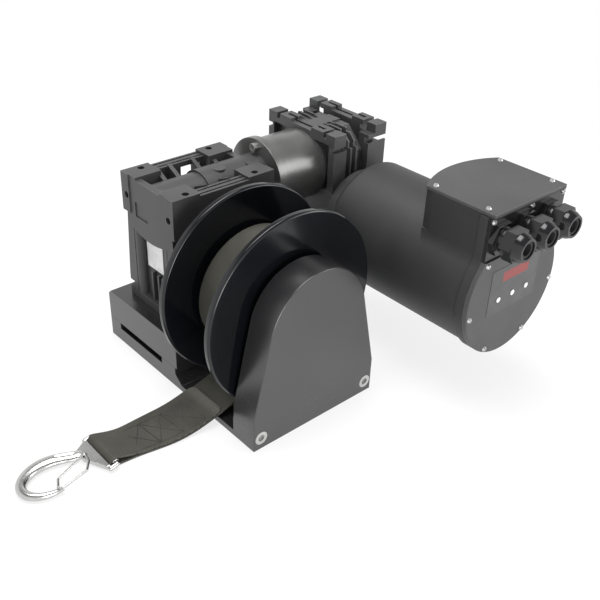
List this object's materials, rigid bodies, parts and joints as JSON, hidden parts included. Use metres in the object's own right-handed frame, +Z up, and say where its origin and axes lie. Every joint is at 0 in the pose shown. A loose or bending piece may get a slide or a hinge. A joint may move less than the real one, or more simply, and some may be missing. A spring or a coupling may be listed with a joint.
{
  "type": "electric strap winch",
  "caption": "Electric strap winch: a flanged drum of webbing with a hook, worm gearboxes and a motor with a control box on a base plate.",
  "frame": {"origin": "middle of the bolt pattern in the base plate's underside", "axes": "+X along the drum towards the arch, +Y to the motor at the back, +Z up"},
  "size_m": [0.334, 0.4687, 0.1998],
  "materials": {
    "paint": "satin",
    "flange": "gloss",
    "strap": "woven",
    "steel": "machined",
    "polished": "polished",
    "bronze": "machined",
    "casting": "dark coated casting",
    "magnet": "sintered",
    "housing": "fine texture",
    "gland": "moulded",
    "seal": "soft",
    "carbon": "graphite",
    "label": "printed film",
    "panel": "film",
    "lens": "clear"
  },
  "bodies": {
    "frame": {"adapter_bolts": "steel", "arch_screws": "steel", "arch_support": "paint", "base_plate": "paint", "box_gaskets": "seal", "box_lid": "housing", "box_screws": "steel", "carbon_brushes": "carbon", "control_board": "panel", "coupling_flange": "casting", "coupling_screws": "steel", "coupling_sleeve": "casting", "display_panel": "panel", "end_cover": "housing", "gearbox_cover_screws": "steel", "gearbox_foot_bolts": "steel", "gearbox_housing": "casting", "gearbox_left_cover": "casting", "gearbox_right_cover": "casting", "gearbox_seals": "seal", "gland_bodies": "gland", "gland_dome_nuts": "gland", "gland_plate": "housing", "gland_seals": "seal", "indicator_lenses": "lens", "main_bearings": "steel", "motor_adapter": "casting", "motor_bearings": "steel", "motor_housing": "housing", "motor_plates": "casting", "motor_stator": "steel", "rating_label": "label", "riser_block": "paint", "riser_bolts": "steel", "small_cap_screws": "steel", "small_gearbox_bearings": "steel", "small_gearbox_cap": "casting", "small_gearbox_housing": "casting", "stator_magnets": "magnet", "strap_tail": "strap"},
    "drum": {"drum_flange_left": "flange", "drum_flange_right": "flange", "drum_flange_screws": "steel", "drum_hub": "steel", "drum_shaft": "steel", "drum_keys": "steel", "strap_core": "strap", "strap_outer_turns": "strap", "worm_wheel": "bronze"},
    "worm": {"worm_shaft": "steel", "shaft_coupling": "steel", "output_shaft": "steel", "small_worm_wheel": "bronze"},
    "rotor": {"small_worm": "steel", "motor_sleeve": "steel", "motor_rotor": "steel"},
    "hook": {"hook_body": "polished"},
    "gate": {"hook_gate": "polished"}
  },
  "joints": [
    {"name": "drum_spin", "type": "hinge", "parent": "frame", "child": "drum", "pos_m": [0, 0, 0.10025], "axis": [1, 0, 0], "continuous": true},
    {"name": "worm_spin", "type": "hinge", "parent": "frame", "child": "worm", "pos_m": [-0.0545, 0, 0.157], "axis": [0, 1, 0], "continuous": true},
    {"name": "motor_spin", "type": "hinge", "parent": "frame", "child": "rotor", "pos_m": [0, 0.16, 0.1113], "axis": [1, 0, 0], "continuous": true},
    {"name": "hook_swing", "type": "hinge", "parent": "frame", "child": "hook", "pos_m": [0.037, -0.169, 0.0056], "axis": [-1, 0, 0], "range_deg": [0, 80]},
    {"name": "gate_open", "type": "hinge", "parent": "hook", "child": "gate", "pos_m": [0.033, -0.1845, 0.0041], "axis": [0, 0, -1], "range_deg": [0, 30], "stiffness_Nm_per_rad": 0.02}
  ],
  "couplings": [
    {"joint": "worm_spin", "follows": "drum_spin", "ratio": 20},
    {"joint": "motor_spin", "follows": "drum_spin", "ratio": 200}
  ]
}
